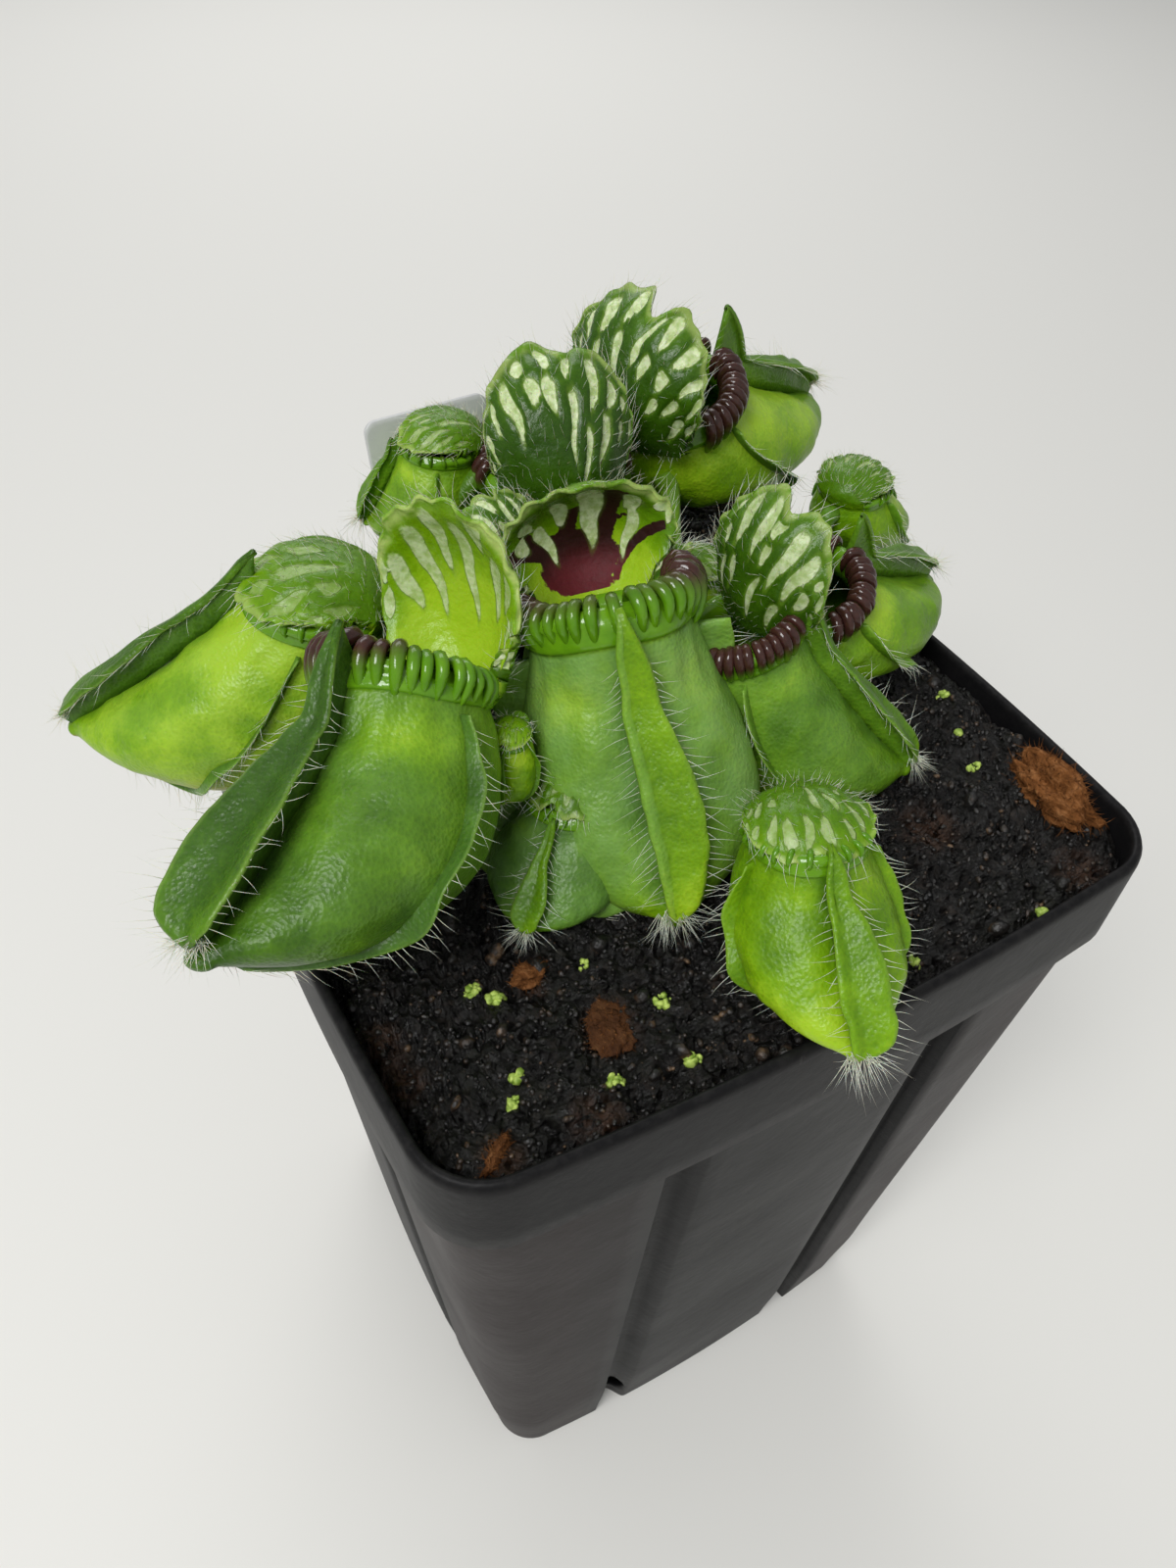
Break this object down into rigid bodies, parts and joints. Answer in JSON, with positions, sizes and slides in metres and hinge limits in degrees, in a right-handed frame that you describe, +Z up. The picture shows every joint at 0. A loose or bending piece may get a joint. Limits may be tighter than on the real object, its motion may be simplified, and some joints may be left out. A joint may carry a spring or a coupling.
{
  "type": "potted albany pitcher plant",
  "caption": "Rosette of open and closed pitcher leaves with lids and ribbed lips, growing in peat in a deep square grooved pot.",
  "frame": {"origin": "centre of the pot's flat base, on the surface it stands on", "axes": "+Z up along the pot, +X towards the pot's right side and -Y towards its front side, seen from the picture's side"},
  "size_m": [0.1174, 0.1039, 0.163],
  "materials": {
    "pot_plastic": "semi-gloss charcoal black, dusty, finely scratched",
    "peat": "wet, crumbly, nearly black",
    "leaf_green": "fleshy leaf, waxy sheen, hairy edges",
    "leaf_young": "fleshy young leaf, yellow-green, waxy sheen",
    "label_plastic": "smooth pale grey card-thin plastic, blank",
    "bark": "dry fibrous orange-brown"
  },
  "bodies": {
    "root": {"pot": "pot_plastic", "peat": "peat", "label": "label_plastic", "pitcher_front": "leaf_green", "pitcher_left_front": "leaf_green", "pitcher_left_back": "leaf_green", "pitcher_back": "leaf_green", "pitcher_right_back": "leaf_green", "pitcher_right": "leaf_green", "pitcher_right_front": "leaf_green", "pitcher_young_front": "leaf_young", "pitcher_young_under": "leaf_green", "pitcher_young_back": "leaf_young", "pitcher_middle": "leaf_green", "pitcher_young_right": "leaf_young", "pitcher_bud_centre": "leaf_young", "pitcher_bud_small": "leaf_young", "coir_lump": "bark", "bark_chip_front": "bark", "bark_chip_middle": "bark", "bark_curl": "bark"}
  },
  "joints": []
}
